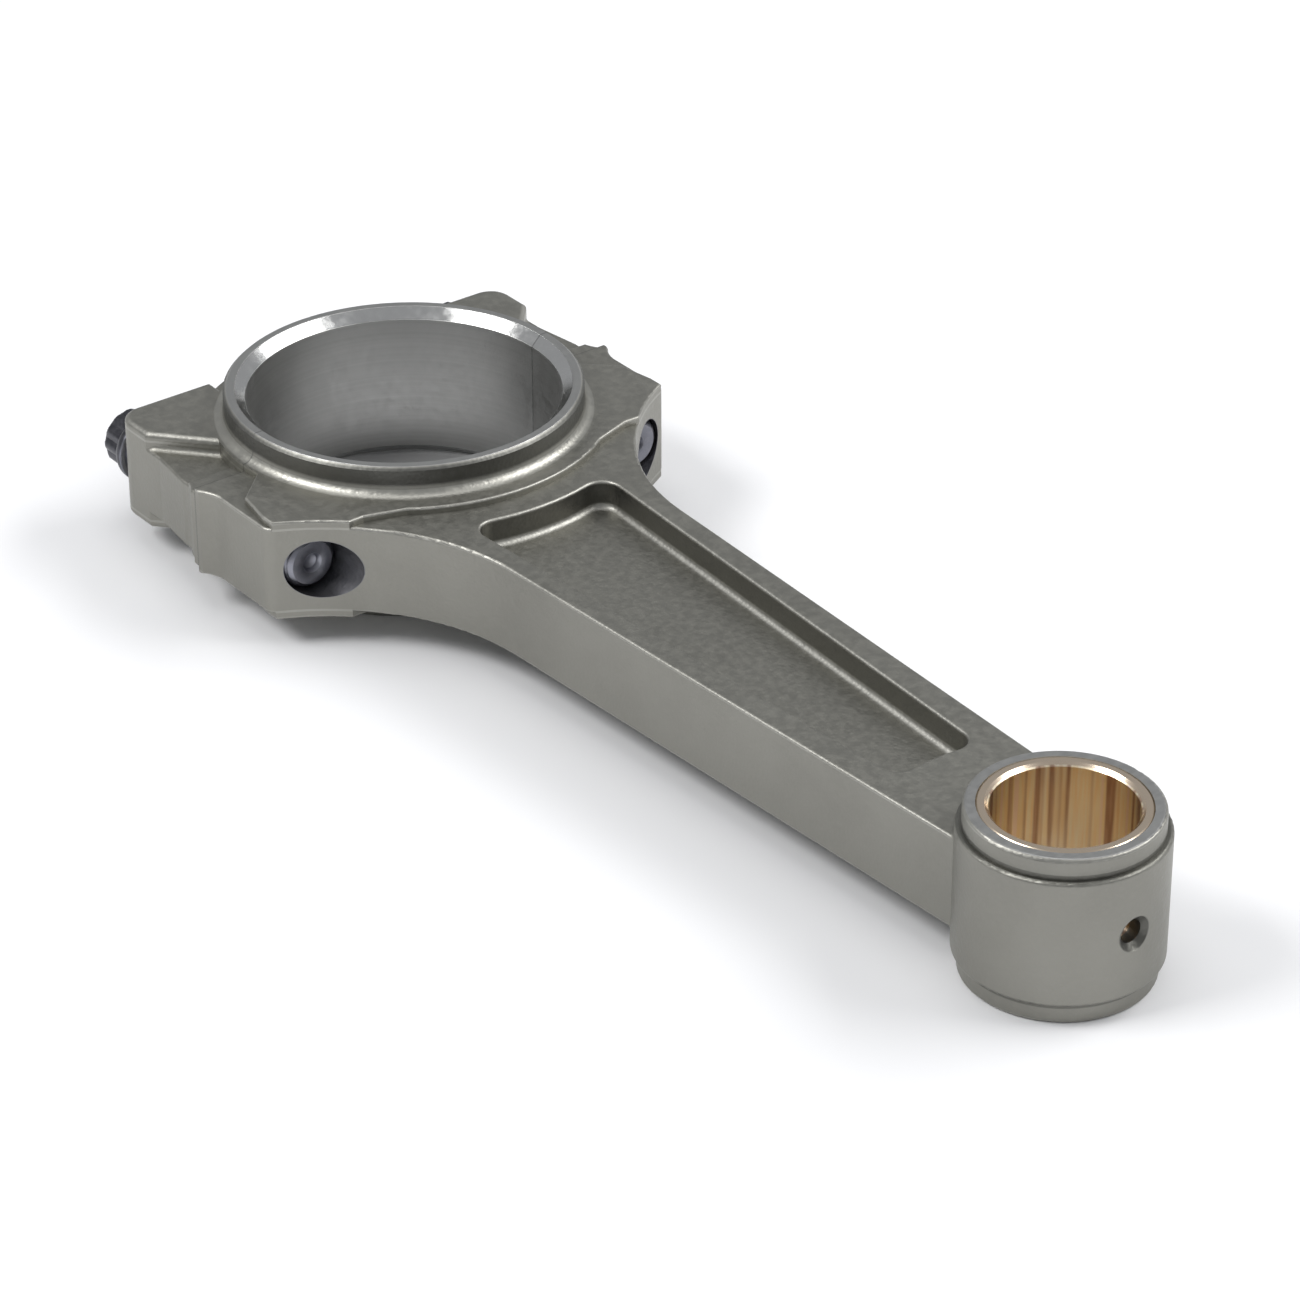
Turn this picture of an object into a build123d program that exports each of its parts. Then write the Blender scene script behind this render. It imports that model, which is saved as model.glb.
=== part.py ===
from build123d import *
import math
import os

os.makedirs("parts", exist_ok=True)

# Connecting rod: X runs from the crankpin centre to the piston pin, Z along the crankpin.
# All sizes in millimetres.
CENTRES = 165.0
BORE_R = 26.5
RING_R = 30.2
RING_ROOT = 2.0
HALF_WIDTH = 14.0
BORE_CHAMFER = 1.8
BREAK = 0.6

# Beam and shoulders
BODY_H = 7.8
PAD_H = 9.0
PAD_BREAK = 0.4
SIDE_Y = 40.3
SIDE_END_X = 18.9
CORNER_R = 2.5
FLANK_R = 40.6
BEAM_X = 54.0
BEAM_Y = 16.7
NECK_X = 160.0
NECK_Y = 11.9
NECK_R = 14.2
NECK_BLEND = 9.0
PAD_R = 34.6
PAD_TURN = math.radians(34.5)

# Pocket between the flanges
POCKET_FLOOR = 2.8
POCKET_START_R = 39.4
POCKET_END_R = 28.5
POCKET_X0 = 34.0
POCKET_Y0 = 13.9
POCKET_X1 = 146.0
POCKET_Y1 = 7.2
POCKET_CORNER = 3.2
POCKET_ROOT = 1.2
POCKET_BREAK = 0.5

# Small end
EYE_R = 15.8
EYE_H = 10.6
BOSS_R = 14.8
BUSH_R = 12.9
PIN_R = 11.0
BUSH_CHAMFER = 0.6
OIL_R = 1.9
OIL_SINK_R = 2.9
OIL_SINK = 1.0

# Lips along the joint between rod and cap
LIP_Y = 41.8
LIP_X = 1.2
LIP_END_X = 6.0
LIP_END_Y = 40.4
LIP_R = 7.0
JOINT_X = 3.8
JOINT_H = 7.0

# Cap
CAP_H = 6.1
CAP_BREAK = 0.5
CAP_SIDE_Y = 39.2
CAP_SIDE_X = 15.0
SEAT_X = 28.2
SEAT_CORNER_R = 4.0
BOSS_IN_X = 19.0
BOSS_IN_Y = 20.5
BOSS_ROOT_X = 6.9
BOSS_ROOT_Y = 28.6
BOSS_TIP_X = 19.0
BOSS_BREAK = 1.0
BOSS_FOOT = 1.0
CROWN_R = 35.5

# Cap bolts and alignment sleeves
BOLT_Y = 32.9
SHANK_R = 4.75
WAIST_R = 4.3
WAIST_X0 = -23.0
WAIST_X1 = -6.0
HOLE_R = 4.8
EXIT_R = 5.2
EXIT_X = 16.0
TIP_X = 20.6
TIP_CHAMFER = 0.8
FLANGE_R = 6.0
FLANGE_T = 2.0
HEAD_R = 5.3
HEAD_T = 4.8
DIMPLE_R = 1.6
DIMPLE = 1.2
SLEEVE_R = 5.6
SLEEVE_IN_R = 4.95
SLEEVE_HALF = 4.0
SLEEVE_POCKET = 4.2
SLEEVE_CLEARANCE = 0.03

# Bearing shell locating slots
TANG_Z = 7.0
TANG_WIDTH = 5.0
TANG_REACH = 4.2
TANG_DEPTH = 1.4

BIG = 130.0


def round_edges_at(part, radius, height):
    """Circular edges of one radius lying at one height."""
    found = ShapeList()
    for edge in part.edges().filter_by(GeomType.CIRCLE):
        if abs(edge.radius - radius) < 0.01 and abs(edge.center().Z - height) < 0.01:
            found.append(edge)
    return found


def level_edges(part, height, x_min, x_max):
    """Edges lying in one horizontal plane whose middles fall in a range of X."""
    found = ShapeList()
    for edge in part.edges():
        box = edge.bounding_box()
        flat = abs(box.min.Z - height) < 0.01 and abs(box.max.Z - height) < 0.01
        if flat and x_min < edge.position_at(0.5).X < x_max:
            found.append(edge)
    return found


def bolt_places():
    """Centres of the two bolt axes in a plane square to them."""
    return ((0, -BOLT_Y), (0, BOLT_Y))


def square_to_bolts(x_position):
    """Plane facing along +X whose local X and Y lie along -Z and Y."""
    return Plane(origin=(x_position, 0, 0), x_dir=(0, 0, -1), z_dir=(1, 0, 0))


def ring_profile():
    """Section of the big end ring: bored, chamfered, with a rounded foot on the pad."""
    foot = PAD_H + RING_ROOT
    rim = HALF_WIDTH - BREAK
    Polyline(
        (RING_R, foot),
        (RING_R, rim),
        (RING_R - BREAK, HALF_WIDTH),
        (BORE_R + BORE_CHAMFER, HALF_WIDTH),
        (BORE_R, HALF_WIDTH - BORE_CHAMFER),
        (BORE_R, BORE_CHAMFER - HALF_WIDTH),
        (BORE_R + BORE_CHAMFER, -HALF_WIDTH),
        (RING_R - BREAK, -HALF_WIDTH),
        (RING_R, -rim),
        (RING_R, -foot),
    )
    RadiusArc((RING_R, -foot), (RING_R + RING_ROOT, -PAD_H), RING_ROOT)
    Line((RING_R + RING_ROOT, -PAD_H), (RING_R + RING_ROOT, PAD_H))
    RadiusArc((RING_R + RING_ROOT, PAD_H), (RING_R, foot), RING_ROOT)


# Rod: I-section beam, shoulders for the cap bolts, half of the big end and the small-end eye.
with BuildPart() as rod_body:
    with BuildSketch(Plane.XY.offset(-BODY_H)) as plan:
        with BuildLine():
            Line((0, 0), (0, LIP_Y))
            Line((0, LIP_Y), (LIP_X, LIP_Y))
            RadiusArc((LIP_X, LIP_Y), (LIP_END_X, SIDE_Y), -LIP_R)
            Line((LIP_END_X, SIDE_Y), (SIDE_END_X, SIDE_Y))
            RadiusArc((SIDE_END_X, SIDE_Y), (BEAM_X, BEAM_Y), -FLANK_R)
            Line((BEAM_X, BEAM_Y), (NECK_X, NECK_Y))
            Line((NECK_X, NECK_Y), (NECK_X, 0))
            Line((NECK_X, 0), (0, 0))
        make_face()
        mirror(about=Plane.XZ)
        with Locations((CENTRES, 0)):
            Circle(NECK_R)
        fillet(plan.vertices().filter_by_position(Axis.X, 155.0, 159.5), NECK_BLEND)
        fillet(plan.vertices().filter_by_position(Axis.X, SIDE_END_X - 1, SIDE_END_X + 1), CORNER_R)
    extrude(amount=2 * BODY_H)
    outline = plan.sketch_local

    # Small-end eye with its raised side faces
    with BuildSketch(Plane.XY.offset(-EYE_H)):
        with Locations((CENTRES, 0)):
            Circle(EYE_R)
    extrude(amount=2 * EYE_H)
    with BuildSketch(Plane.XY.offset(-HALF_WIDTH)):
        with Locations((CENTRES, 0)):
            Circle(BOSS_R)
    extrude(amount=2 * HALF_WIDTH)
    for side in (1, -1):
        fillet(round_edges_at(rod_body, BOSS_R, side * HALF_WIDTH), BREAK)
        fillet(round_edges_at(rod_body, EYE_R, side * EYE_H), BREAK)

    # Pockets that leave the thin web between the two flanges
    for side in (1, -1):
        with BuildSketch(Plane.XY.offset(side * POCKET_FLOOR)) as pocket:
            Polygon(
                (POCKET_X0, -POCKET_Y0),
                (POCKET_X1, -POCKET_Y1),
                (POCKET_X1, POCKET_Y1),
                (POCKET_X0, POCKET_Y0),
                align=None,
            )
            Circle(POCKET_START_R, mode=Mode.SUBTRACT)
            with Locations((CENTRES, 0)):
                Circle(POCKET_END_R, mode=Mode.SUBTRACT)
            fillet(pocket.vertices(), POCKET_CORNER)
        extrude(amount=side * BODY_H, mode=Mode.SUBTRACT)
        fillet(level_edges(rod_body, side * POCKET_FLOOR, 30, 150), POCKET_ROOT)

    # Broken edges of the beam, the shoulders and the pockets
    for side in (1, -1):
        fillet(level_edges(rod_body, side * BODY_H, 1, 154.5), POCKET_BREAK)

    # Machined pad round the big end, reaching out over the bolt holes
    with BuildSketch(Plane.XY.offset(-PAD_H)) as pad:
        with BuildLine():
            Polyline(
                (0, 0),
                (0, RING_R - 1.5),
                (3.0, 31.2),
                (9.5, 38.2),
                (16.5, 39.4),
                (24.0, 39.4),
                (26.4, 30.5),
                (26.3, 26.5),
                (PAD_R * math.cos(PAD_TURN), PAD_R * math.sin(PAD_TURN)),
            )
            CenterArc((0, 0), PAD_R, 0, math.degrees(PAD_TURN))
            Line((PAD_R, 0), (0, 0))
        make_face()
        mirror(about=Plane.XZ)
        add(outline, mode=Mode.INTERSECT)
    extrude(amount=2 * PAD_H)
    for side in (1, -1):
        fillet(level_edges(rod_body, side * PAD_H, 4, 36), PAD_BREAK)

    # Turned surfaces: the big end ring with its bore, and the small-end eye with its raised faces
    with BuildSketch(Plane.XY.offset(-HALF_WIDTH)):
        Circle(BORE_R + BORE_CHAMFER)
    extrude(amount=2 * HALF_WIDTH, mode=Mode.SUBTRACT)
    with BuildSketch(Plane.XZ):
        with BuildLine():
            ring_profile()
        make_face()
    revolve(axis=Axis.Z)
    with BuildSketch(Plane.XY.offset(-HALF_WIDTH)):
        Rectangle(BIG, BIG, align=(Align.MAX, Align.CENTER))
    extrude(amount=2 * HALF_WIDTH, mode=Mode.SUBTRACT)

    # Bore for the pin bush
    with BuildSketch(Plane.XY.offset(-HALF_WIDTH)):
        with Locations((CENTRES, 0)):
            Circle(BUSH_R)
    extrude(amount=2 * HALF_WIDTH, mode=Mode.SUBTRACT)

    # Oil hole through the crown of the small end, with its countersink
    with BuildSketch(square_to_bolts(CENTRES)):
        Circle(OIL_R)
    extrude(amount=EYE_R + 1, mode=Mode.SUBTRACT)
    with Locations(Location((CENTRES + EYE_R - OIL_SINK / 2, 0, 0), (0, 90, 0))):
        Cone(OIL_R, OIL_SINK_R, OIL_SINK, mode=Mode.SUBTRACT)

    # Bolt threads, their run-out through the flank, and the sleeve pockets in the joint face
    with BuildSketch(square_to_bolts(0)):
        with Locations(*bolt_places()):
            Circle(HOLE_R)
    extrude(amount=PAD_R, mode=Mode.SUBTRACT)
    with BuildSketch(square_to_bolts(EXIT_X)):
        with Locations(*bolt_places()):
            Circle(EXIT_R)
    extrude(amount=PAD_R - EXIT_X, mode=Mode.SUBTRACT)
    with BuildSketch(square_to_bolts(0)):
        with Locations(*bolt_places()):
            Circle(SLEEVE_R)
    extrude(amount=SLEEVE_POCKET, mode=Mode.SUBTRACT)

    # Locating slot for the bearing shell tang
    with Locations((0, -BORE_R, TANG_Z)):
        Box(
            TANG_REACH,
            2 * TANG_DEPTH,
            TANG_WIDTH,
            align=(Align.MIN, Align.CENTER, Align.CENTER),
            mode=Mode.SUBTRACT,
        )
rod_body.part.label = "rod_body"
export_step(rod_body.part, "parts/rod_body.step")

# Cap: the other half of the big end, with two bolt bosses and a low crown.
with BuildPart() as bearing_cap:
    with BuildSketch(Plane.XY.offset(-CAP_H)) as cap_plan:
        with BuildLine():
            Line((0, 0), (0, LIP_Y))
            Line((0, LIP_Y), (-LIP_X, LIP_Y))
            RadiusArc((-LIP_X, LIP_Y), (-LIP_END_X, LIP_END_Y), LIP_R)
            Line((-LIP_END_X, LIP_END_Y), (-CAP_SIDE_X, CAP_SIDE_Y))
            Line((-CAP_SIDE_X, CAP_SIDE_Y), (-SEAT_X, CAP_SIDE_Y))
            Line((-SEAT_X, CAP_SIDE_Y), (-SEAT_X, 0))
            Line((-SEAT_X, 0), (0, 0))
        make_face()
        mirror(about=Plane.XZ)
        fillet(cap_plan.vertices().filter_by_position(Axis.X, -SEAT_X - 1, -SEAT_X + 1), SEAT_CORNER_R)
        Circle(CROWN_R)
        Rectangle(BIG, BIG, align=(Align.MIN, Align.CENTER), mode=Mode.SUBTRACT)
    extrude(amount=2 * CAP_H)
    cap_outline = cap_plan.sketch_local
    for side in (1, -1):
        fillet(level_edges(bearing_cap, side * CAP_H, -40, -0.1), CAP_BREAK)

    # Raised bolt bosses
    with BuildSketch(Plane.XY.offset(-PAD_H)) as bosses:
        with BuildLine():
            Polyline(
                (-BOSS_ROOT_X, BOSS_ROOT_Y),
                (-BOSS_TIP_X, CAP_SIDE_Y),
                (-SEAT_X, CAP_SIDE_Y),
                (-SEAT_X, BOSS_IN_Y),
                (-BOSS_IN_X, BOSS_IN_Y),
                close=True,
            )
        make_face()
        mirror(about=Plane.XZ)
        add(cap_outline, mode=Mode.INTERSECT)
    extrude(amount=2 * PAD_H)
    for side in (1, -1):
        fillet(level_edges(bearing_cap, side * CAP_H, -14.5, -11.5), BOSS_FOOT)
    for side in (1, -1):
        fillet(level_edges(bearing_cap, side * PAD_H, -40, -0.1), BOSS_BREAK)

    # Lip along the joint
    with BuildSketch(Plane.XY.offset(-JOINT_H)):
        add(cap_outline)
        Rectangle(JOINT_X, BIG, align=(Align.MAX, Align.CENTER), mode=Mode.INTERSECT)
    extrude(amount=2 * JOINT_H)
    for side in (1, -1):
        fillet(level_edges(bearing_cap, side * JOINT_H, -4.5, -0.1), CAP_BREAK)

    # Turned ring and bore
    with BuildSketch(Plane.XY.offset(-HALF_WIDTH)):
        Circle(BORE_R + BORE_CHAMFER)
    extrude(amount=2 * HALF_WIDTH, mode=Mode.SUBTRACT)
    with BuildSketch(Plane.XZ):
        with BuildLine():
            ring_profile()
        make_face()
    revolve(axis=Axis.Z)
    with BuildSketch(Plane.XY.offset(-HALF_WIDTH)):
        Rectangle(BIG, BIG, align=(Align.MIN, Align.CENTER))
    extrude(amount=2 * HALF_WIDTH, mode=Mode.SUBTRACT)

    # Bolt holes, sleeve pockets and the shell slot
    with BuildSketch(square_to_bolts(0)):
        with Locations(*bolt_places()):
            Circle(HOLE_R)
    extrude(amount=-CROWN_R, mode=Mode.SUBTRACT)
    with BuildSketch(square_to_bolts(0)):
        with Locations(*bolt_places()):
            Circle(SLEEVE_R + SLEEVE_CLEARANCE)
    extrude(amount=-SLEEVE_POCKET, mode=Mode.SUBTRACT)
    with Locations((0, -BORE_R, TANG_Z)):
        Box(
            TANG_REACH,
            2 * TANG_DEPTH,
            TANG_WIDTH,
            align=(Align.MAX, Align.CENTER, Align.CENTER),
            mode=Mode.SUBTRACT,
        )
bearing_cap.part.label = "bearing_cap"
export_step(bearing_cap.part, "parts/bearing_cap.step")

# Pin bush pressed into the small end.
with BuildPart() as small_end_bush:
    with BuildSketch(Plane.XY.offset(-HALF_WIDTH)):
        with Locations((CENTRES, 0)):
            Circle(BUSH_R)
            Circle(PIN_R, mode=Mode.SUBTRACT)
    extrude(amount=2 * HALF_WIDTH)
    for side in (1, -1):
        chamfer(round_edges_at(small_end_bush, PIN_R, side * HALF_WIDTH), BUSH_CHAMFER)
        chamfer(round_edges_at(small_end_bush, BUSH_R, side * HALF_WIDTH), 0.3)
    with BuildSketch(square_to_bolts(CENTRES)):
        Circle(OIL_R)
    extrude(amount=BUSH_R + 1, mode=Mode.SUBTRACT)
small_end_bush.part.label = "small_end_bush"
export_step(small_end_bush.part, "parts/small_end_bush.step")


def shank_profile():
    """Half section of the bolt below its flange: guide, waist and threaded end."""
    Polyline(
        (-SEAT_X, 0),
        (-SEAT_X, SHANK_R),
        (WAIST_X0, SHANK_R),
        (WAIST_X0 + 1, WAIST_R),
        (WAIST_X1 - 1, WAIST_R),
        (WAIST_X1, SHANK_R),
        (TIP_X - TIP_CHAMFER, SHANK_R),
        (TIP_X, SHANK_R - TIP_CHAMFER),
        (TIP_X, 0),
        close=True,
    )


def flange_profile():
    """Half section of the washer-faced flange behind the head."""
    Polyline(
        (-SEAT_X, 0),
        (-SEAT_X, FLANGE_R - 0.3),
        (-SEAT_X - 0.3, FLANGE_R),
        (-SEAT_X - FLANGE_T + 0.7, FLANGE_R),
        (-SEAT_X - FLANGE_T, FLANGE_R - 0.5),
        (-SEAT_X - FLANGE_T, 0),
        close=True,
    )


# The two cap bolts are alike: one is drawn at each bolt axis.
with BuildPart() as cap_bolt_left:
    with BuildSketch(Plane.XY):
        with BuildLine():
            shank_profile()
        make_face()
    revolve(axis=Axis.X)
    with BuildSketch(Plane.XY):
        with BuildLine():
            flange_profile()
        make_face()
    revolve(axis=Axis.X)
    with BuildSketch(square_to_bolts(-SEAT_X - FLANGE_T)):
        RegularPolygon(HEAD_R, 6)
        RegularPolygon(HEAD_R, 6, rotation=30)
    extrude(amount=-HEAD_T)
    with BuildSketch(square_to_bolts(TIP_X)):
        Circle(DIMPLE_R)
    extrude(amount=-DIMPLE, mode=Mode.SUBTRACT)
    with BuildSketch(square_to_bolts(-SEAT_X - FLANGE_T - HEAD_T)):
        Circle(DIMPLE_R)
    extrude(amount=DIMPLE, mode=Mode.SUBTRACT)
bolt_shape = cap_bolt_left.part
for name, place in (("cap_bolt_left", -BOLT_Y), ("cap_bolt_right", BOLT_Y)):
    bolt = bolt_shape.moved(Location((0, place, 0)))
    bolt.label = name
    export_step(bolt, "parts/" + name + ".step")

# Hollow alignment sleeves round the bolts, shared between the cap and the rod.
with BuildPart() as dowel_sleeve:
    with BuildSketch(square_to_bolts(-SLEEVE_HALF)):
        Circle(SLEEVE_R)
        Circle(SLEEVE_IN_R, mode=Mode.SUBTRACT)
    extrude(amount=2 * SLEEVE_HALF)
    chamfer(dowel_sleeve.edges().filter_by(GeomType.CIRCLE), 0.2)
for name, place in (("dowel_sleeve_left", -BOLT_Y), ("dowel_sleeve_right", BOLT_Y)):
    sleeve = dowel_sleeve.part.moved(Location((0, place, 0)))
    sleeve.label = name
    export_step(sleeve, "parts/" + name + ".step")
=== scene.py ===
import math

import bmesh
import bpy
from mathutils import Euler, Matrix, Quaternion, Vector

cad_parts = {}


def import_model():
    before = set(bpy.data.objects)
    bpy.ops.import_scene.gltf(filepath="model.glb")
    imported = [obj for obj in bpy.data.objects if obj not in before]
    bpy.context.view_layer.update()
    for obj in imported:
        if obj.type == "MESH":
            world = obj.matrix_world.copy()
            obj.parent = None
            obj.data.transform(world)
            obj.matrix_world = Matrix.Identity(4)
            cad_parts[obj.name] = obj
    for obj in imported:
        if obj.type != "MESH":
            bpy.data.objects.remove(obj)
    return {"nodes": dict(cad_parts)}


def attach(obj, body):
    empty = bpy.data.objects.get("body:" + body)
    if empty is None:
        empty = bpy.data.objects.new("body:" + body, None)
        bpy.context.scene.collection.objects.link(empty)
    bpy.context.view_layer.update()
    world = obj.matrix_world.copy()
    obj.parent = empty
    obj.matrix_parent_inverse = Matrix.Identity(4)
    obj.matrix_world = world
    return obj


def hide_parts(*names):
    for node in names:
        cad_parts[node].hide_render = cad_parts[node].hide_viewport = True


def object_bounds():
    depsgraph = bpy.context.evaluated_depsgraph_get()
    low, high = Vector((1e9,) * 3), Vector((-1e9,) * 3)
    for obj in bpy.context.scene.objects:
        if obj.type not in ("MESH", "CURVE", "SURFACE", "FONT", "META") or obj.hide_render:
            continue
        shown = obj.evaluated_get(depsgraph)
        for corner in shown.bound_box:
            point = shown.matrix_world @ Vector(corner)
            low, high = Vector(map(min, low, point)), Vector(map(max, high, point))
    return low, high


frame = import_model()
cad_low, cad_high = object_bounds()
nodes = frame["nodes"]

MM = 0.001
FLOOR_Z = cad_low.z

# Reference sizes of the rod, in metres. The pocket's taper is a ratio: how much its side moves in
# for each metre along the beam.
BORE_R = 26.5 * MM
CHAMFER_R = 28.3 * MM
RING_R = 30.2 * MM
HALF_WIDTH = 14.0 * MM
BORE_CHAMFER = 1.8 * MM
SEAT_X = 28.2 * MM
PIN_X = 165.0 * MM
BOLT_Y = 32.9 * MM
TIP_X = 20.6 * MM
POCKET_SIDE_Y = 17.5 * MM
POCKET_TAPER = 0.0522

# Where the finishes, the painted shade and the painted highlights change, in metres. A pair is where a change
# starts and where it is complete.
# A group of three is a band: from, to, and the width of its soft edges.
BORE_WALL = (BORE_R + 0.1 * MM, BORE_R + 0.2 * MM)
CHAMFER_RADII = (BORE_R + 0.12 * MM, CHAMFER_R - 0.12 * MM, 0.1 * MM)
CHAMFER_HEIGHT = (HALF_WIDTH - BORE_CHAMFER, HALF_WIDTH - BORE_CHAMFER + 0.1 * MM)
FACED_HEIGHT = (HALF_WIDTH - 0.08 * MM, HALF_WIDTH - 0.04 * MM)
RING_RADII = (RING_R - 0.2 * MM, RING_R + 1.7 * MM, 0.4 * MM)
RING_SIDE_HEIGHT = (10.4 * MM, 11.0 * MM)
RING_FOOT_HEIGHT = (9.08 * MM, 10.1 * MM, 0.06 * MM)
JOINT_FACE = (0.01 * MM, 0.02 * MM)
PARTING_LINE = (0.03 * MM, 0.12 * MM, 0.01 * MM)
SEAT_FACE = (-SEAT_X + 0.01 * MM, -SEAT_X + 0.05 * MM)
SEAT_ACROSS = (22 * MM, 23 * MM)
BOLT_HOLE_RADII = (5.22 * MM, 5.3 * MM)
BOLT_HOLE_START = (0.1 * MM, 0.2 * MM)
EYE_STEP_HEIGHT = (10.5 * MM, 11.3 * MM, 0.15 * MM)
EYE_RADII = (18 * MM, 19 * MM)
POCKET_EDGE = (0.0, 0.2 * MM)
POCKET_LENGTH = (36 * MM, 148 * MM, 0.5 * MM)
POCKET_WALL_HEIGHT = (4.1 * MM, 7.1 * MM, 0.4 * MM)
POCKET_ROOT_HEIGHT = (2.95 * MM, 3.7 * MM, 0.1 * MM)
BEAM_EDGE_HEIGHTS = (
    (7.4 * MM, 7.7 * MM, 0.1 * MM),
    (8.62 * MM, 8.92 * MM, 0.1 * MM),
)
BEAM_EDGE_END = (16.0 * MM, 16.4 * MM)
RIM_HEIGHT = (13.5 * MM, 13.9 * MM, 0.05 * MM)
OIL_HOLE_RADII = (2.7 * MM, 3.0 * MM)
OIL_HOLE_START = (177 * MM, 178 * MM)
BUSH_HOLE_RADII = (2.0 * MM, 2.1 * MM)
BUSH_HOLE_START = (PIN_X, PIN_X + 1 * MM)
BUSH_FACE_HEIGHT = (HALF_WIDTH - 0.5 * MM, HALF_WIDTH - 0.3 * MM)
HEAD_END = (-SEAT_X - 0.5 * MM, -SEAT_X)
TIP_FACE = (TIP_X - 0.06 * MM, TIP_X - 0.02 * MM)

# Colours of the finishes, and of the painted shade and painted highlights laid over them
SKIN_DARK = (0.262, 0.257, 0.231, 1)
SKIN_LIGHT = (0.285, 0.280, 0.252, 1)
SKIN_SPECK = (0.345, 0.338, 0.305, 1)
# Worn edges, lightened further by a painted highlight
WORN_EDGE_AND_HIGHLIGHT = (0.60, 0.59, 0.55, 1)
# Painted shade on the ring's upper side, painted highlight along the ring foot, painted shade on the pocket
# walls, painted highlight along the pocket root, painted shade under the eye's step
RING_SIDE_SHADE = (0.10, 0.10, 0.093, 1)
RING_FOOT_PAINTED_HIGHLIGHT = (0.58, 0.57, 0.52, 1)
POCKET_SHADE = (0.07, 0.068, 0.06, 1)
POCKET_ROOT_PAINTED_HIGHLIGHT = (0.55, 0.54, 0.50, 1)
EYE_STEP_SHADE = (0.10, 0.10, 0.09, 1)
# Machined steel and the bore's chamfer
CUT_DARK = (0.40, 0.40, 0.39, 1)
CUT_LIGHT = (0.435, 0.435, 0.425, 1)
CHAMFER_STEEL = (0.62, 0.62, 0.61, 1)
# Painted shade inside the oil and bolt holes and along the parting line
OIL_HOLE_SHADE = (0.06, 0.06, 0.055, 1)
BOLT_HOLE_SHADE = (0.21, 0.21, 0.23, 1)
PARTING_SHADE = (0.05, 0.05, 0.05, 1)
# Bronze tones; the streaks that alternate them round the bush are painted reflection stripes, and the pale one
# is a painted highlight
BRONZE_DARK = ((0.42, 0.27, 0.20, 1), (0.58, 0.40, 0.29, 1))
BRONZE_GOLD = ((0.98, 0.80, 0.54, 1), (1.0, 0.92, 0.72, 1))
BRONZE_PALE = (1.0, 0.85, 0.75, 1)
BRONZE_FACE = (0.72, 0.60, 0.47, 1)
# Painted shade inside the bush's oil hole
BRONZE_HOLE = (0.10, 0.07, 0.05, 1)
# Sleeve and bolt steel
GROUND_STEEL = ((0.50, 0.50, 0.49, 1), (0.60, 0.60, 0.59, 1))
BOLT_SHANK = ((0.26, 0.265, 0.30, 1), (0.31, 0.31, 0.345, 1))
BOLT_HEAD = ((0.075, 0.075, 0.085, 1), (0.11, 0.11, 0.12, 1))
# Paper, and the painted shadow on it inside the bore
PAPER = (0.86, 0.86, 0.87, 1)
PAPER_SHADE = (0.25, 0.25, 0.25, 1)

# The stretch of a noise texture's values over which colours and roughness change
NOISE_RANGE = (0.3, 0.7)


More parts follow.
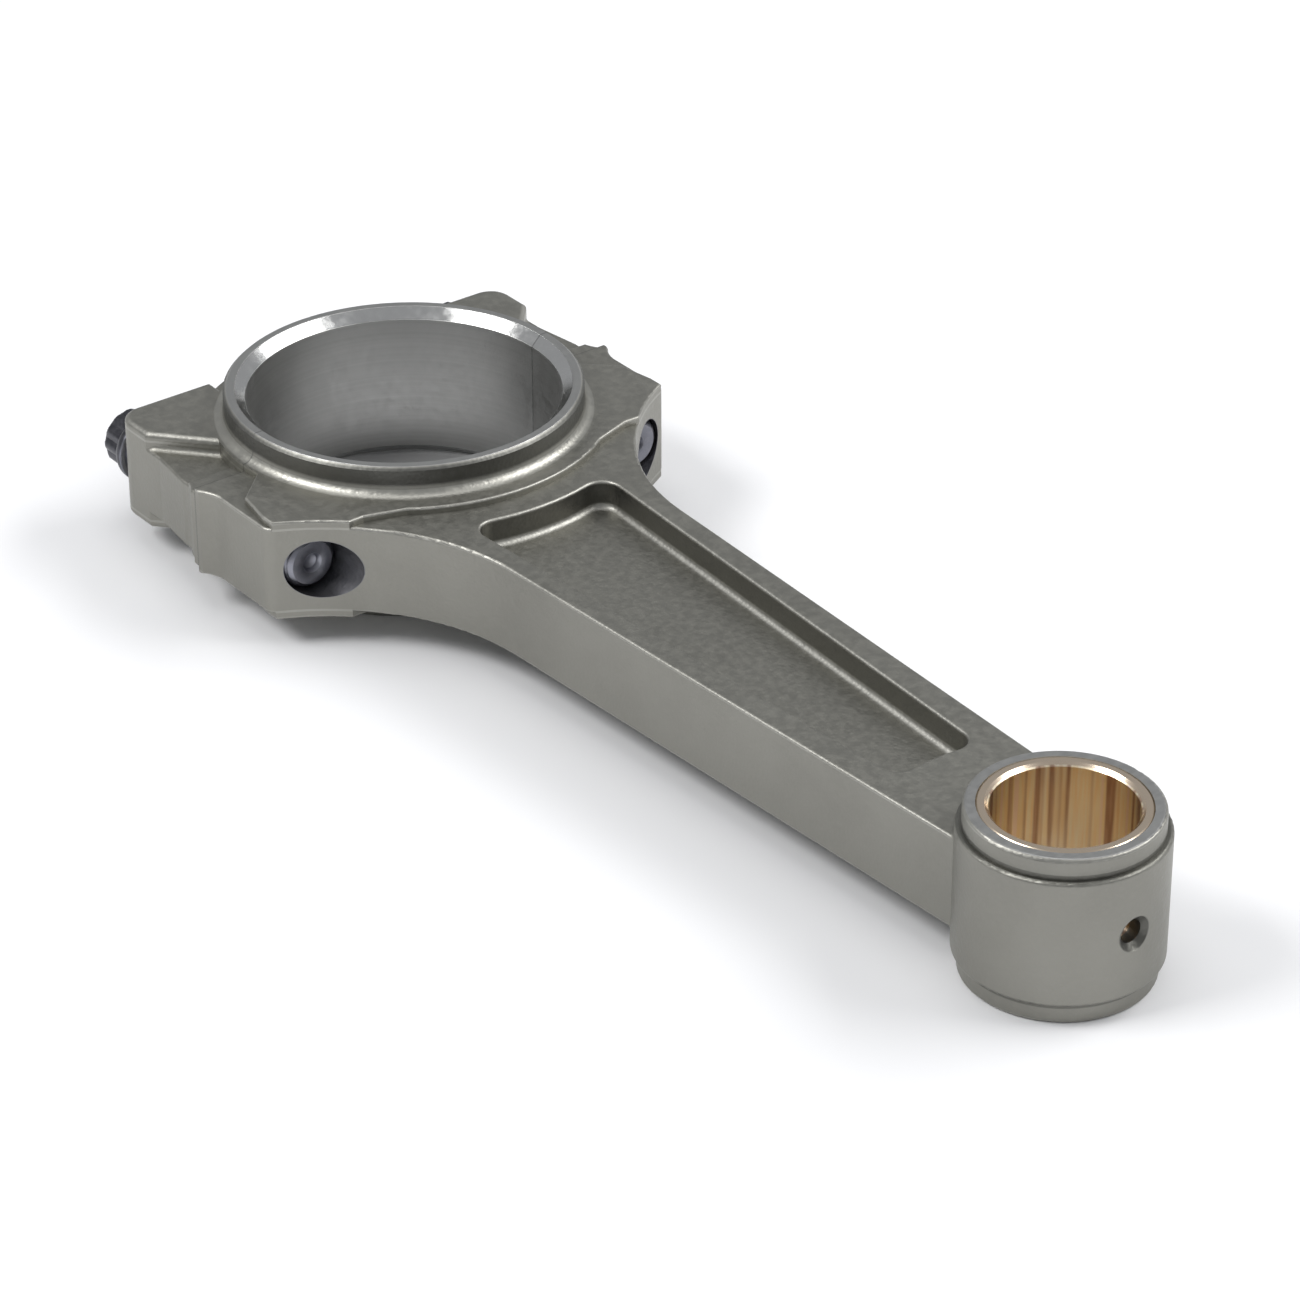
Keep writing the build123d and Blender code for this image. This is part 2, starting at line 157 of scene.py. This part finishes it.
# ---------------------------------------------------------------- node helpers
class Shader:
    """A material's node tree, with one short call for each kind of node."""

    def __init__(self, name):
        self.material = bpy.data.materials.new(name)
        self.material.use_nodes = True
        self.tree = self.material.node_tree
        self.tree.nodes.clear()
        self.output = self.tree.nodes.new("ShaderNodeOutputMaterial")
        self.surface = self.tree.nodes.new("ShaderNodeBsdfPrincipled")
        self.tree.links.new(self.surface.outputs[0], self.output.inputs[0])

    def put(self, socket, value):
        """Sets a socket to a number or colour, or links another node's output to it."""
        if isinstance(value, bpy.types.NodeSocket):
            self.tree.links.new(value, socket)
        else:
            socket.default_value = value

    def principled(self, **values):
        for name, value in values.items():
            self.put(self.surface.inputs[name.replace("_", " ")], value)

    def object_coordinates(self):
        return self.tree.nodes.new("ShaderNodeTexCoord").outputs["Object"]

    def axes(self, vector):
        """The x, y and z of a vector, as three sockets."""
        node = self.tree.nodes.new("ShaderNodeSeparateXYZ")
        self.put(node.inputs[0], vector)
        return node.outputs[0], node.outputs[1], node.outputs[2]

    def vector(self, x, y, z):
        node = self.tree.nodes.new("ShaderNodeCombineXYZ")
        for socket, value in zip(node.inputs, (x, y, z)):
            self.put(socket, value)
        return node.outputs[0]

    def math(self, operation, first, second=0.0):
        node = self.tree.nodes.new("ShaderNodeMath")
        node.operation = operation
        self.put(node.inputs[0], first)
        self.put(node.inputs[1], second)
        return node.outputs[0]

    def product(self, *values):
        result = values[0]
        for value in values[1:]:
            result = self.math("MULTIPLY", result, value)
        return result

    def largest(self, *values):
        result = values[0]
        for value in values[1:]:
            result = self.math("MAXIMUM", result, value)
        return result

    def length(self, first, second):
        """Distance from the origin of a point with these two coordinates."""
        squares = self.math("ADD", self.product(first, first), self.product(second, second))
        return self.math("SQRT", squares)

    def band(self, value, low, high, soft):
        """One between low and high and nothing outside, with edges of width soft."""
        return self.product(self.span(value, low - soft, low), self.under(value, high, high + soft))

    def under(self, value, low, high):
        """One below low, fading to nothing at high."""
        return self.span(value, low, high, 1.0, 0.0)

    def span(self, value, low, high, out_low=0.0, out_high=1.0):
        """Moves a value smoothly from out_low at low to out_high at high."""
        node = self.tree.nodes.new("ShaderNodeMapRange")
        node.interpolation_type = "SMOOTHSTEP"
        self.put(node.inputs["Value"], value)
        node.inputs["From Min"].default_value = low
        node.inputs["From Max"].default_value = high
        node.inputs["To Min"].default_value = out_low
        node.inputs["To Max"].default_value = out_high
        return node.outputs[0]

    def noise(self, vector, scale, detail, roughness=0.55):
        node = self.tree.nodes.new("ShaderNodeTexNoise")
        self.put(node.inputs["Vector"], vector)
        node.inputs["Scale"].default_value = scale
        node.inputs["Detail"].default_value = detail
        node.inputs["Roughness"].default_value = roughness
        return node.outputs[0]

    def cells(self, vector, scale):
        node = self.tree.nodes.new("ShaderNodeTexVoronoi")
        self.put(node.inputs["Vector"], vector)
        node.inputs["Scale"].default_value = scale
        return node.outputs["Distance"]

    def mix(self, factor, first, second):
        node = self.tree.nodes.new("ShaderNodeMix")
        node.data_type = "RGBA"
        self.put(node.inputs["Factor"], factor)
        self.put(node.inputs[6], first)
        self.put(node.inputs[7], second)
        return node.outputs[2]

    def stain(self, base, mask, share, colour):
        """Lays a share of a colour over a base colour where the mask is one."""
        return self.mix(self.product(mask, share), base, colour)

    def bump(self, height, distance, strength):
        node = self.tree.nodes.new("ShaderNodeBump")
        node.inputs["Strength"].default_value = strength
        node.inputs["Distance"].default_value = distance
        self.put(node.inputs["Height"], height)
        return node.outputs[0]


def set_material(piece, material):
    piece.data.materials.clear()
    piece.data.materials.append(material)


# ---------------------------------------------------------------- materials
def peened_steel():
    """Shot-peened forging with turned and bored surfaces. Its edges are worn bright and carry a painted
    highlight; painted shade darkens the ring's upper side, the pocket walls, the step under the eye, the bolt
    and oil holes and the parting line, and painted highlights run along the ring foot and the pocket root.
    """
    shader = Shader("peened_steel")
    place = shader.object_coordinates()
    x, y, z = shader.axes(place)
    height = shader.math("ABSOLUTE", z)
    from_crank = shader.length(x, y)
    from_pin = shader.length(shader.math("SUBTRACT", x, PIN_X), y)

    bore = shader.under(from_crank, *BORE_WALL)
    near_face = shader.span(height, *CHAMFER_HEIGHT)
    bore_chamfer = shader.product(shader.band(from_crank, *CHAMFER_RADII), near_face)
    faced = shader.span(height, *FACED_HEIGHT)
    near_ring = shader.band(from_crank, *RING_RADII)
    # Painted shade on the ring's upper side only
    ring_side = shader.product(shader.span(z, *RING_SIDE_HEIGHT), near_ring)
    # The ring foot: smoother, and lit by a painted highlight
    ring_foot = shader.product(shader.band(height, *RING_FOOT_HEIGHT), near_ring)
    off_joint = shader.math("ABSOLUTE", x)
    joint = shader.under(off_joint, *JOINT_FACE)
    # Painted shade along the parting line
    parting = shader.band(off_joint, *PARTING_LINE)
    across = shader.math("ABSOLUTE", y)
    seat = shader.product(shader.under(x, *SEAT_FACE), shader.span(across, *SEAT_ACROSS))
    machined = shader.largest(bore, faced, joint, seat)
    # Painted shade inside the bolt holes
    from_bolt = shader.length(shader.math("SUBTRACT", across, BOLT_Y), z)
    bolt_hole = shader.product(shader.under(from_bolt, *BOLT_HOLE_RADII), shader.span(x, *BOLT_HOLE_START))
    # Painted shade under the step round the eye
    eye_step = shader.product(shader.band(height, *EYE_STEP_HEIGHT), shader.under(from_pin, *EYE_RADII))

    wall_line = shader.math("SUBTRACT", POCKET_SIDE_Y, shader.product(x, POCKET_TAPER))
    between = shader.under(shader.math("SUBTRACT", across, wall_line), *POCKET_EDGE)
    between = shader.product(between, shader.band(x, *POCKET_LENGTH))
    # Painted shade on the pocket walls
    pocket_wall = shader.product(between, shader.band(height, *POCKET_WALL_HEIGHT))
    # Painted highlight along the pocket's root
    pocket_root = shader.product(between, shader.band(height, *POCKET_ROOT_HEIGHT))

    # Edges of the beam and the ring's rim, lightened by wear and by a painted highlight
    edges = 0.0
    for edge_height in BEAM_EDGE_HEIGHTS:
        edges = shader.largest(edges, shader.band(height, *edge_height))
    edges = shader.product(edges, shader.span(from_pin, *BEAM_EDGE_END))
    edges = shader.largest(edges, shader.band(height, *RIM_HEIGHT))

    cloud = shader.noise(place, scale=60.0, detail=2.0)
    mottle = shader.noise(place, scale=700.0, detail=3.0, roughness=0.6)
    grain = shader.cells(place, scale=1500.0)
    rings = shader.noise(shader.vector(from_crank, 0.0, z), scale=1400.0, detail=3.0)

    wear_and_highlight = shader.product(edges, shader.span(cloud, 0.2, 0.6, out_low=0.5))
    skin = shader.mix(shader.span(cloud, *NOISE_RANGE), SKIN_DARK, SKIN_LIGHT)
    skin = shader.mix(shader.span(mottle, 0.35, 0.7, out_high=0.3), skin, SKIN_SPECK)
    # Worn edges with their painted highlight, then painted shade and painted highlights
    for mask, share, tone in (
        (wear_and_highlight, 0.28, WORN_EDGE_AND_HIGHLIGHT),
        (ring_side, 0.85, RING_SIDE_SHADE),
        (ring_foot, 0.4, RING_FOOT_PAINTED_HIGHLIGHT),
        (pocket_wall, 0.5, POCKET_SHADE),
        (pocket_root, 0.4, POCKET_ROOT_PAINTED_HIGHLIGHT),
        (eye_step, 0.6, EYE_STEP_SHADE),
    ):
        skin = shader.stain(skin, mask, share, tone)
    cut = shader.mix(shader.span(rings, *NOISE_RANGE), CUT_DARK, CUT_LIGHT)
    colour = shader.mix(machined, skin, cut)
    colour = shader.mix(bore_chamfer, colour, CHAMFER_STEEL)
    # Painted shade inside the oil hole
    from_oil_hole = shader.length(y, z)
    oil_hole = shader.product(shader.under(from_oil_hole, *OIL_HOLE_RADII), shader.span(x, *OIL_HOLE_START))
    colour = shader.stain(colour, oil_hole, 0.65, OIL_HOLE_SHADE)
    colour = shader.stain(colour, bolt_hole, 0.85, BOLT_HOLE_SHADE)
    colour = shader.stain(colour, parting, 0.6, PARTING_SHADE)

    rough = shader.span(mottle, *NOISE_RANGE, out_low=0.42, out_high=0.52)
    for mask, smoother in ((ring_foot, 0.06), (machined, 0.08), (bore_chamfer, 0.30)):
        rough = shader.math("SUBTRACT", rough, shader.product(mask, smoother))

    blasted = shader.math("SUBTRACT", 1.0, shader.largest(machined, bore_chamfer))
    peening = shader.product(shader.math("ADD", grain, shader.product(mottle, 0.6)), blasted)
    cutting = shader.product(rings, machined, 0.03)
    normal = shader.bump(shader.math("ADD", peening, cutting), distance=0.05 * MM, strength=0.6)
    shader.principled(Base_Color=colour, Metallic=1.0, Roughness=rough, Normal=normal)
    return shader.material


def bronze():
    """Honed bush bore with painted reflection stripes along its axis over the bronze's own uneven tone, and a
    pale faced end.
    """
    shader = Shader("bronze")
    place = shader.object_coordinates()
    x, y, z = shader.axes(place)
    beside = shader.math("SUBTRACT", x, PIN_X)
    around = shader.math("ARCTAN2", y, beside)
    # Painted reflection stripes round the bush, running along its axis
    painted_reflection_streaks = shader.noise(shader.vector(around, 0.0, z), scale=6.0, detail=1.0, roughness=0.5)
    stretched = shader.vector(around, 0.0, shader.product(z, 6.0))
    fine = shader.noise(stretched, scale=17.0, detail=2.0, roughness=0.5)
    face = shader.span(shader.math("ABSOLUTE", z), *BUSH_FACE_HEIGHT)
    dark = shader.mix(shader.span(fine, *NOISE_RANGE), *BRONZE_DARK)
    gold = shader.mix(shader.span(fine, *NOISE_RANGE), *BRONZE_GOLD)
    colour = shader.mix(shader.span(painted_reflection_streaks, 0.38, 0.52), dark, gold)
    colour = shader.mix(shader.span(painted_reflection_streaks, 0.58, 0.68), colour, BRONZE_PALE)
    colour = shader.mix(face, colour, BRONZE_FACE)
    # Painted shade inside the bush's oil hole
    in_hole = shader.under(shader.length(y, z), *BUSH_HOLE_RADII)
    oil_hole = shader.product(in_hole, shader.span(x, *BUSH_HOLE_START))
    colour = shader.stain(colour, oil_hole, 0.8, BRONZE_HOLE)
    flat = shader.math("SUBTRACT", 1.0, face)
    rough = shader.math("ADD", 0.24, shader.product(fine, flat, 0.12))
    normal = shader.bump(shader.product(fine, flat), distance=0.02 * MM, strength=0.3)
    shader.principled(Base_Color=colour, Metallic=1.0, Roughness=rough, Normal=normal)
    return shader.material


def ground_steel():
    """Ground sleeve steel with fine lines round its axis."""
    shader = Shader("ground_steel")
    along = shader.axes(shader.object_coordinates())[0]
    lines = shader.noise(shader.vector(along, 0.0, 0.0), scale=2400.0, detail=3.0)
    colour = shader.mix(shader.span(lines, *NOISE_RANGE), *GROUND_STEEL)
    shader.principled(Base_Color=colour, Metallic=1.0, Roughness=0.24)
    return shader.material


def black_oxide():
    """Blackened bolt steel, rubbed a little brighter in patches."""
    shader = Shader("black_oxide")
    place = shader.object_coordinates()
    mottle = shader.noise(place, scale=900.0, detail=3.0, roughness=0.6)
    along = shader.axes(place)[0]
    shank = shader.mix(shader.span(mottle, 0.4, 0.75), *BOLT_SHANK)
    head = shader.mix(shader.span(mottle, 0.4, 0.75), *BOLT_HEAD)
    colour = shader.mix(shader.span(along, *HEAD_END), head, shank)
    colour = shader.mix(shader.span(along, *TIP_FACE, out_high=0.4), colour, head)
    rough = shader.span(mottle, *NOISE_RANGE, out_low=0.30, out_high=0.42)
    normal = shader.bump(mottle, distance=0.01 * MM, strength=0.2)
    shader.principled(Base_Color=colour, Metallic=1.0, Roughness=rough, Normal=normal)
    return shader.material


steel_material = peened_steel()
sleeve_material = ground_steel()
bolt_material = black_oxide()
for name in ("rod_body", "bearing_cap"):
    set_material(nodes[name], steel_material)
for name in ("dowel_sleeve_left", "dowel_sleeve_right"):
    set_material(nodes[name], sleeve_material)
set_material(nodes["small_end_bush"], bronze())


# ---------------------------------------------------------------- cap bolts
# Sizes are in metres. TIP_CHAMFER and LEAD_IN are slopes. FLAT_SHARE is the part of the pitch that
# each flat of the thread takes. VALLEY is the head's radius between two points, as a share of that at a point.
COLUMNS = 72
TURN = 2 * math.pi / COLUMNS
PITCH = 1.25 * MM
THREAD_STEPS = 8
THREAD_START = -6.0 * MM
CREST_R = 4.75 * MM
ROOT_R = 4.12 * MM
FLAT_SHARE = 0.16
TIP_CHAMFER = 1.0
TIP_CHAMFER_LENGTH = 1.0 * MM
LEAD_IN = 0.7
POINT_R = 5.3 * MM
POINT_ROUNDING = 0.985
POINT_STEP = math.radians(30)
VALLEY = math.cos(POINT_STEP) / math.cos(math.radians(15))
MERGE_DISTANCE = 0.5e-6
SHARP_ANGLE = math.radians(38)

# Stations along the bolt, in millimetres: place on the axis, radius, and whether the head's points cut it
HEAD_STATIONS = (
    (-34.0, 0.7, False),
    (-34.1, 1.2, False),
    (-34.75, 1.5, False),
    (-35.0, 1.85, False),
    (-35.0, 4.35, True),
    (-34.8, 4.75, True),
    (-34.55, 5.05, True),
    (-34.2, 5.28, True),
    (-33.8, 5.3, True),
    (-30.75, 5.3, True),
    (-30.35, 5.3, True),
    (-30.25, 5.4, False),
    (-30.1, 5.62, False),
    (-29.6, 5.88, False),
    (-29.3, 5.97, False),
    (-28.55, 6.0, False),
    (-28.3, 5.9, False),
    (-28.2, 5.7, False),
    (-28.19, 4.75, False),
    (-23.3, 4.75, False),
    (-23.0, 4.68, False),
    (-22.2, 4.25, False),
    (-21.8, 4.16, False),
    (-21.4, 4.12, False),
    (-6.3, 4.12, False),
)
TIP_STATIONS = (
    (20.6, 1.9, False),
    (20.4, 1.55, False),
    (19.75, 1.25, False),
    (19.5, 0.7, False),
)


def head_outline(angle):
    """Radius of a twelve-point head in one direction, its points slightly rounded."""
    across = abs((angle / POINT_STEP) % 1.0 - 0.5) * 2
    radius = POINT_R * (VALLEY + (1 - VALLEY) * across)
    return min(radius, POINT_R * POINT_ROUNDING)


def plain_rings(stations):
    """Rings of points (distance along the bolt, radius, direction) for the unthreaded stretches."""
    rings = []
    for distance, radius, pointed in stations:
        ring = []
        for column in range(COLUMNS):
            reach = radius * MM
            if pointed:
                reach = min(reach, head_outline(column * TURN))
            ring.append((distance * MM, reach, column * TURN))
        rings.append(ring)
    return rings


def thread_radius(step):
    """Radius of the thread at one step of its pitch: a root, a flank, a crest and a flank."""
    share = (step % THREAD_STEPS) / THREAD_STEPS
    rise = (0.5 - abs(share - 0.5)) * 2
    rise = min(max((rise - FLAT_SHARE) / (1 - 2 * FLAT_SHARE), 0), 1)
    return ROOT_R + (CREST_R - ROOT_R) * rise


def thread_rings():
    """Rings sheared by one pitch a turn, held square to the axis at both ends."""
    rings = []
    turns = int((TIP_X - THREAD_START) / PITCH) + 1
    for step in range(-THREAD_STEPS, turns * THREAD_STEPS + 1):
        ring = []
        for column in range(COLUMNS):
            distance = THREAD_START + (step / THREAD_STEPS + column / COLUMNS) * PITCH
            distance = min(max(distance, THREAD_START), TIP_X)
            lead = ROOT_R + LEAD_IN * (distance - THREAD_START)
            point = CREST_R - TIP_CHAMFER * max(distance - TIP_X + TIP_CHAMFER_LENGTH, 0)
            ring.append((distance, min(thread_radius(step), lead, point), column * TURN))
        rings.append(ring)
    return rings


def stretch_faces(start, row_count, shift):
    """Faces between the rings of one stretch, where a whole turn of a thread climbs by shift rings."""
    faces = []
    last = row_count - 1
    for row in range(last):
        for column in range(COLUMNS):
            after = (column + 1) % COLUMNS
            lift = 0 if after else shift
            here = start + row * COLUMNS
            corners = (
                here + column,
                here + COLUMNS + column,
                start + min(row + lift + 1, last) * COLUMNS + after,
                start + min(row + lift, last) * COLUMNS + after,
            )
            if len(set(corners)) >= 3:
                faces.append(tuple(dict.fromkeys(corners)))
    return faces


def bolt_shell(side):
    """Points and faces of a bolt: its stretches, the bands that join them, and its two ends."""
    points = []
    faces = []
    joins = []
    for rings, shift in (
        (plain_rings(HEAD_STATIONS), 0),
        (thread_rings(), THREAD_STEPS),
        (plain_rings(TIP_STATIONS), 0),
    ):
        start = len(points)
        for ring in rings:
            for distance, radius, angle in ring:
                across = side * BOLT_Y + radius * math.cos(angle)
                points.append((distance, across, radius * math.sin(angle)))
        faces.extend(stretch_faces(start, len(rings), shift))
        joins.append((start, len(points) - COLUMNS))
    for (_, end), (begin, _) in zip(joins, joins[1:]):
        for column in range(COLUMNS):
            after = (column + 1) % COLUMNS
            faces.append((end + column, begin + column, begin + after, end + after))
    faces.append(tuple(range(COLUMNS)))
    faces.append(tuple(reversed(range(len(points) - COLUMNS, len(points)))))
    return points, faces


def bolt(name, side):
    """A flanged twelve-point cap bolt with a waisted shank and a helical thread."""
    points, faces = bolt_shell(side)
    mesh = bpy.data.meshes.new(name)
    mesh.from_pydata(points, [], faces)
    work = bmesh.new()
    work.from_mesh(mesh)
    bmesh.ops.remove_doubles(work, verts=work.verts, dist=MERGE_DISTANCE)
    bmesh.ops.dissolve_degenerate(work, edges=work.edges, dist=MERGE_DISTANCE)
    bmesh.ops.recalc_face_normals(work, faces=work.faces)
    for face in work.faces:
        face.smooth = True
    work.to_mesh(mesh)
    work.free()
    mesh.set_sharp_from_angle(angle=SHARP_ANGLE)
    piece = bpy.data.objects.new(name, mesh)
    bpy.context.scene.collection.objects.link(piece)
    set_material(piece, bolt_material)
    return piece


for side_name, side in (("left", -1), ("right", 1)):
    threaded = bolt("threaded_cap_bolt_" + side_name, side)
    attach(threaded, side_name + "_bolt")
    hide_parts("cap_bolt_" + side_name)


# ---------------------------------------------------------------- stage
FLOOR_HALF = 3.0
# A painted shadow greys the paper inside the bore, at the foot of the wall this far round from -X towards +Y
SHADE_TURN = math.radians(37.5)
SHADE_AWAY = (13.0 * MM, 19.0 * MM)
SHADE_RADII = (26.0 * MM, 30.0 * MM)

# Name, place, aim, width and height, and power of each light
LIGHTS = (
    ("right_window", (0.40, 0.66, 0.70), (0.0, 0, 0), (0.85, 0.4), 6.5),
    ("left_window", (-0.22, -0.64, 0.80), (0.0, 0, 0), (0.5, 0.35), 6),
    ("overhead", (-0.15, 0.05, 1.4), (0.08, 0, 0), (0.9, 0.9), 3.5),
)
SKY = (0.95, 0.97, 1.0, 1)
SKY_STRENGTH = 0.41

# The camera, fitted to the photograph
SENSOR_WIDTH = 36.0
FOCAL_LENGTH = 131.13
CAMERA_PLACE = (0.58195, -0.39439, 0.37974)
CAMERA_YAW = math.radians(142.531)
CAMERA_PITCH = math.radians(-30.775)
CAMERA_ROLL = math.radians(-0.127)


def floor():
    """Pale paper under the rod, with a grey painted shadow inside the bore."""
    mesh = bpy.data.meshes.new("floor")
    signs = ((-1, -1), (1, -1), (1, 1), (-1, 1))
    corners = [(FLOOR_HALF * x, FLOOR_HALF * y, FLOOR_Z) for x, y in signs]
    mesh.from_pydata(corners, [], [(0, 1, 2, 3)])
    piece = bpy.data.objects.new("floor", mesh)
    bpy.context.scene.collection.objects.link(piece)
    shader = Shader("paper")
    x, y = shader.axes(shader.object_coordinates())[:2]
    sideways = shader.product(y, math.sin(SHADE_TURN))
    forward = shader.product(x, math.cos(SHADE_TURN))
    away = shader.math("SUBTRACT", sideways, forward)
    inside = shader.under(shader.length(x, y), *SHADE_RADII)
    shade = shader.product(shader.span(away, *SHADE_AWAY), inside)
    colour = shader.mix(shade, PAPER, PAPER_SHADE)
    shader.principled(Base_Color=colour, Roughness=0.9)
    set_material(piece, shader.material)


def area_light(name, place, aim, size, power):
    data = bpy.data.lights.new(name, "AREA")
    data.shape = "RECTANGLE"
    data.size, data.size_y = size
    data.energy = power
    lamp = bpy.data.objects.new(name, data)
    lamp.location = place
    lamp.rotation_euler = (Vector(aim) - Vector(place)).to_track_quat("-Z", "Y").to_euler()
    bpy.context.scene.collection.objects.link(lamp)


def world():
    surroundings = bpy.data.worlds.new("studio")
    surroundings.use_nodes = True
    background = surroundings.node_tree.nodes["Background"]
    background.inputs["Color"].default_value = SKY
    background.inputs["Strength"].default_value = SKY_STRENGTH
    bpy.context.scene.world = surroundings


def camera():
    data = bpy.data.cameras.new("camera")
    data.sensor_width = SENSOR_WIDTH
    data.lens = FOCAL_LENGTH
    eye = bpy.data.objects.new("camera", data)
    eye.location = CAMERA_PLACE
    facing = Euler((math.pi / 2 + CAMERA_PITCH, 0, CAMERA_YAW - math.pi / 2)).to_quaternion()
    eye.rotation_mode = "QUATERNION"
    eye.rotation_quaternion = facing @ Quaternion((0, 0, 1), CAMERA_ROLL)
    bpy.context.scene.collection.objects.link(eye)
    bpy.context.scene.camera = eye


floor()
world()
camera()
for light in LIGHTS:
    area_light(*light)
bpy.context.scene.view_settings.view_transform = "Standard"
